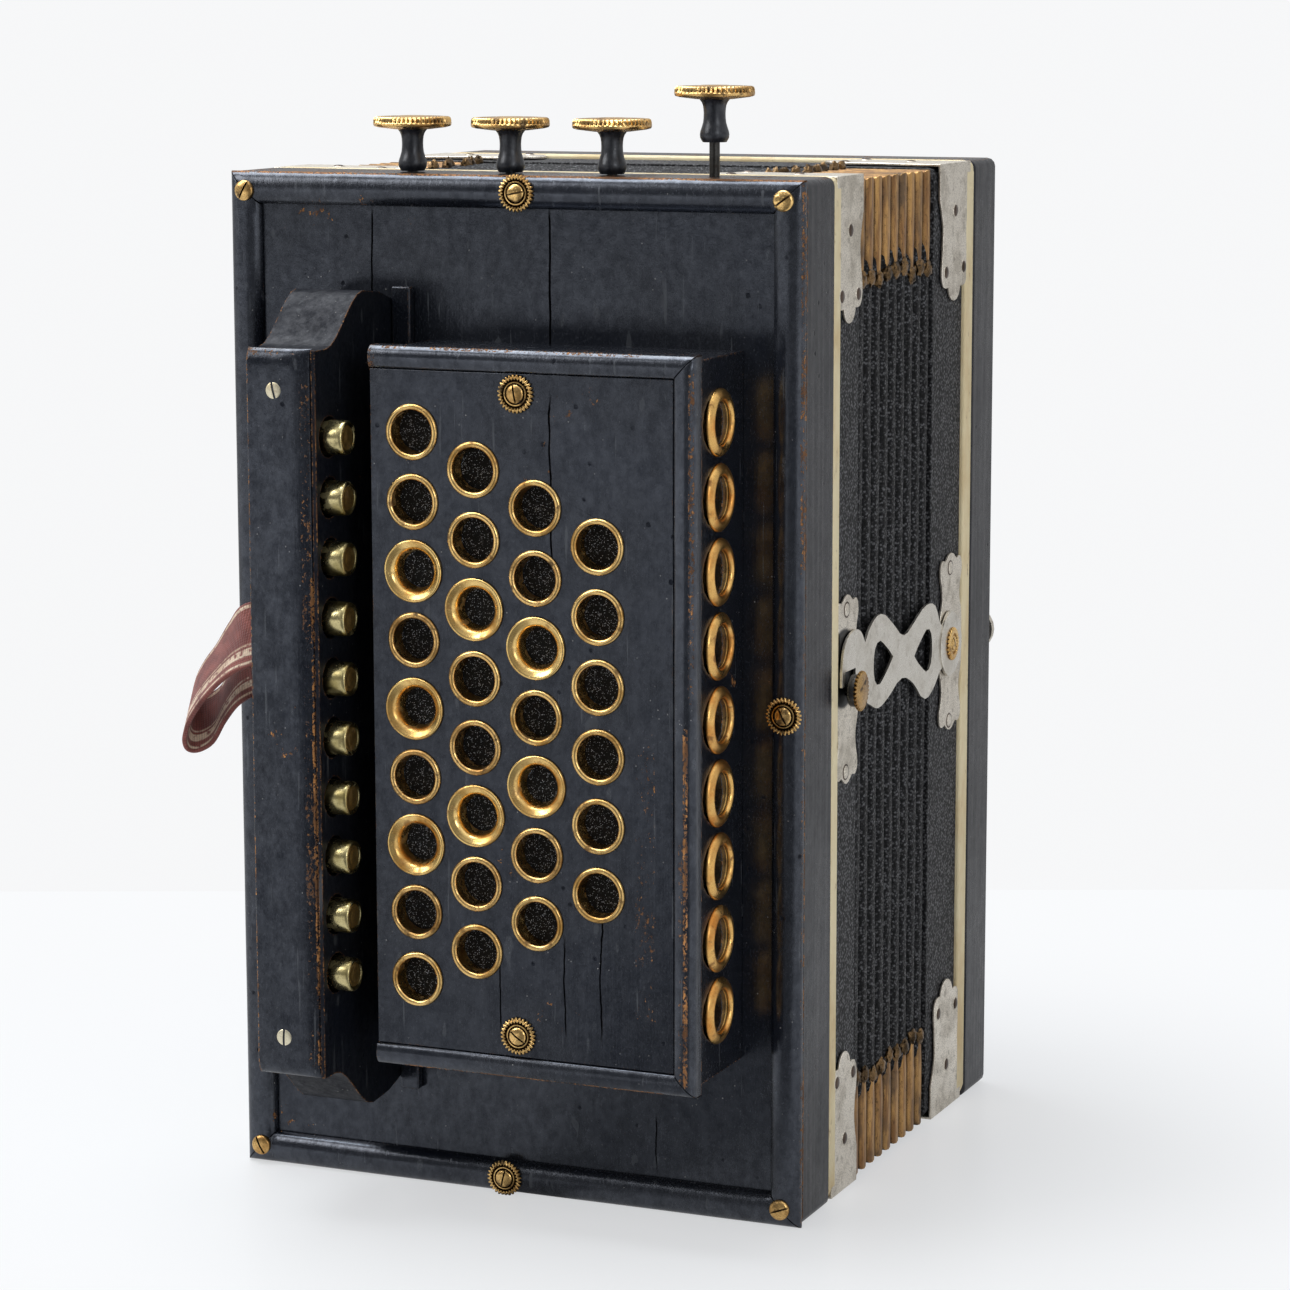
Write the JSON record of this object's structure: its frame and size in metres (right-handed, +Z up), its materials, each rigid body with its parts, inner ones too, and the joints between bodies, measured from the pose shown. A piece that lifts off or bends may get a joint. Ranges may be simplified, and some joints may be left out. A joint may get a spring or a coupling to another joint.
{
  "type": "button accordion",
  "caption": "Antique one-row button accordion in black wood with brass buttons, stops and eyelets, nickel corners and a hook latch",
  "frame": {"origin": "centre of the treble case's foot, on the surface that the accordion stands on", "axes": "+Z up along the tall side of the cases, -Y to the front with the buttons and the grille, +X to the side with the latch"},
  "size_m": [0.1826, 0.2421, 0.3156],
  "materials": {
    "ebonised_wood": "black lacquer, worn at the edges",
    "bare_wood": "bare, sanded",
    "brass": "polished, aged",
    "nickel": "nickel plate, dulled and pitted",
    "steel": "plain",
    "black_cloth": "black bookbinding cloth with a grain",
    "seal_leather": "cream, matte",
    "woven_strap": "maroon ribbed weave with cream stripes",
    "brown_leather": "worn, satin"
  },
  "bodies": {
    "treble_end": {"treble_case": "ebonised_wood", "treble_cover": "ebonised_wood", "treble_moulding": "ebonised_wood", "key_plinth": "ebonised_wood", "fingerboard": "ebonised_wood", "fingerboard_cap": "ebonised_wood", "grille_box": "ebonised_wood", "grille_panel": "ebonised_wood", "grille_moulding": "ebonised_wood", "treble_reed_block": "bare_wood", "front_eyelets": "brass", "side_eyelets": "brass", "latch_stud": "brass", "latch_keeper": "nickel", "treble_corner_plate_1": "nickel", "treble_corner_plate_2": "nickel", "treble_corner_plate_3": "nickel", "treble_corner_plate_4": "nickel", "key_axle": "steel", "bellows": "black_cloth", "treble_bellows_frame": "black_cloth", "treble_seal": "seal_leather", "thumb_strap": "woven_strap"},
    "bass_end": {"bass_bellows_frame": "black_cloth", "bass_seal": "seal_leather", "bass_case": "ebonised_wood", "bass_cover": "ebonised_wood", "bass_pan": "bare_wood", "bass_reed_block": "bare_wood", "bass_key_axle": "steel", "latch_plate": "nickel", "latch_pivot_screw": "brass", "hand_strap": "brown_leather", "bass_corner_plate_1": "nickel", "bass_corner_plate_2": "nickel", "bass_corner_plate_3": "nickel", "bass_corner_plate_4": "nickel"},
    "key_1": {"treble_key_1": "brass"},
    "key_2": {"treble_key_2": "brass"},
    "key_3": {"treble_key_3": "brass"},
    "key_4": {"treble_key_4": "brass"},
    "key_5": {"treble_key_5": "brass"},
    "key_6": {"treble_key_6": "brass"},
    "key_7": {"treble_key_7": "brass"},
    "key_8": {"treble_key_8": "brass"},
    "key_9": {"treble_key_9": "brass"},
    "key_10": {"treble_key_10": "brass"},
    "stop_1": {"stop_knob_1": "ebonised_wood", "stop_cap_1": "brass"},
    "stop_2": {"stop_knob_2": "ebonised_wood", "stop_cap_2": "brass"},
    "stop_3": {"stop_knob_3": "ebonised_wood", "stop_cap_3": "brass"},
    "stop_4": {"stop_knob_4": "ebonised_wood", "stop_cap_4": "brass"},
    "hook": {"latch_hook": "nickel"},
    "bass_lever_1": {"bass_key_1": "nickel"},
    "bass_lever_2": {"bass_key_2": "nickel"},
    "air_button": {"air_key": "ebonised_wood"}
  },
  "joints": [
    {"name": "bellows_slide", "type": "slide", "parent": "treble_end", "child": "bass_end", "axis": [0, 1, 0], "range_m": [0, 0.2], "deforming": ["bellows"]},
    {"name": "treble_key_1_hinge", "type": "hinge", "parent": "treble_end", "child": "key_1", "pos_m": [-0.0423, -0.02125, 0.22032], "axis": [0, 0, -1], "range_deg": [0, 5.5], "stiffness_Nm_per_rad": 0.15, "springref_deg": -20.05},
    {"name": "treble_key_2_hinge", "type": "hinge", "parent": "treble_end", "child": "key_2", "pos_m": [-0.0423, -0.02125, 0.20367], "axis": [0, 0, -1], "range_deg": [0, 5.5], "stiffness_Nm_per_rad": 0.15, "springref_deg": -20.05},
    {"name": "treble_key_3_hinge", "type": "hinge", "parent": "treble_end", "child": "key_3", "pos_m": [-0.0423, -0.02125, 0.18702], "axis": [0, 0, -1], "range_deg": [0, 5.5], "stiffness_Nm_per_rad": 0.15, "springref_deg": -20.05},
    {"name": "treble_key_4_hinge", "type": "hinge", "parent": "treble_end", "child": "key_4", "pos_m": [-0.0423, -0.02125, 0.17037], "axis": [0, 0, -1], "range_deg": [0, 5.5], "stiffness_Nm_per_rad": 0.15, "springref_deg": -20.05},
    {"name": "treble_key_5_hinge", "type": "hinge", "parent": "treble_end", "child": "key_5", "pos_m": [-0.0423, -0.02125, 0.15373], "axis": [0, 0, -1], "range_deg": [0, 5.5], "stiffness_Nm_per_rad": 0.15, "springref_deg": -20.05},
    {"name": "treble_key_6_hinge", "type": "hinge", "parent": "treble_end", "child": "key_6", "pos_m": [-0.0423, -0.02125, 0.13708], "axis": [0, 0, -1], "range_deg": [0, 5.5], "stiffness_Nm_per_rad": 0.15, "springref_deg": -20.05},
    {"name": "treble_key_7_hinge", "type": "hinge", "parent": "treble_end", "child": "key_7", "pos_m": [-0.0423, -0.02125, 0.12043], "axis": [0, 0, -1], "range_deg": [0, 5.5], "stiffness_Nm_per_rad": 0.15, "springref_deg": -20.05},
    {"name": "treble_key_8_hinge", "type": "hinge", "parent": "treble_end", "child": "key_8", "pos_m": [-0.0423, -0.02125, 0.10378], "axis": [0, 0, -1], "range_deg": [0, 5.5], "stiffness_Nm_per_rad": 0.15, "springref_deg": -20.05},
    {"name": "treble_key_9_hinge", "type": "hinge", "parent": "treble_end", "child": "key_9", "pos_m": [-0.0423, -0.02125, 0.08712], "axis": [0, 0, -1], "range_deg": [0, 5.5], "stiffness_Nm_per_rad": 0.15, "springref_deg": -20.05},
    {"name": "treble_key_10_hinge", "type": "hinge", "parent": "treble_end", "child": "key_10", "pos_m": [-0.0423, -0.02125, 0.07047], "axis": [0, 0, -1], "range_deg": [0, 5.5], "stiffness_Nm_per_rad": 0.15, "springref_deg": -20.05},
    {"name": "stop_1_slide", "type": "slide", "parent": "treble_end", "child": "stop_1", "axis": [0, 0, 1], "range_m": [0, 0.009]},
    {"name": "stop_2_slide", "type": "slide", "parent": "treble_end", "child": "stop_2", "axis": [0, 0, 1], "range_m": [0, 0.009]},
    {"name": "stop_3_slide", "type": "slide", "parent": "treble_end", "child": "stop_3", "axis": [0, 0, 1], "range_m": [0, 0.009]},
    {"name": "stop_4_slide", "type": "slide", "parent": "treble_end", "child": "stop_4", "axis": [0, 0, 1], "range_m": [-0.009, 0]},
    {"name": "latch_hinge", "type": "hinge", "parent": "bass_end", "child": "hook", "pos_m": [0.0873, 0.10995, 0.1466], "axis": [-1, 0, 0], "range_deg": [-2.75, 95]},
    {"name": "bass_key_1_hinge", "type": "hinge", "parent": "bass_end", "child": "bass_lever_1", "pos_m": [0.035, 0.14135, 0.1438], "axis": [0, 0, -1], "range_deg": [0, 4], "stiffness_Nm_per_rad": 0.2, "springref_deg": -17.19},
    {"name": "bass_key_2_hinge", "type": "hinge", "parent": "bass_end", "child": "bass_lever_2", "pos_m": [0.035, 0.14135, 0.1218], "axis": [0, 0, -1], "range_deg": [0, 4], "stiffness_Nm_per_rad": 0.2, "springref_deg": -17.19},
    {"name": "air_key_slide", "type": "slide", "parent": "bass_end", "child": "air_button", "axis": [0, -1, 0], "range_m": [0, 0.004], "stiffness_N_per_m": 400, "springref_m": -0.006}
  ]
}
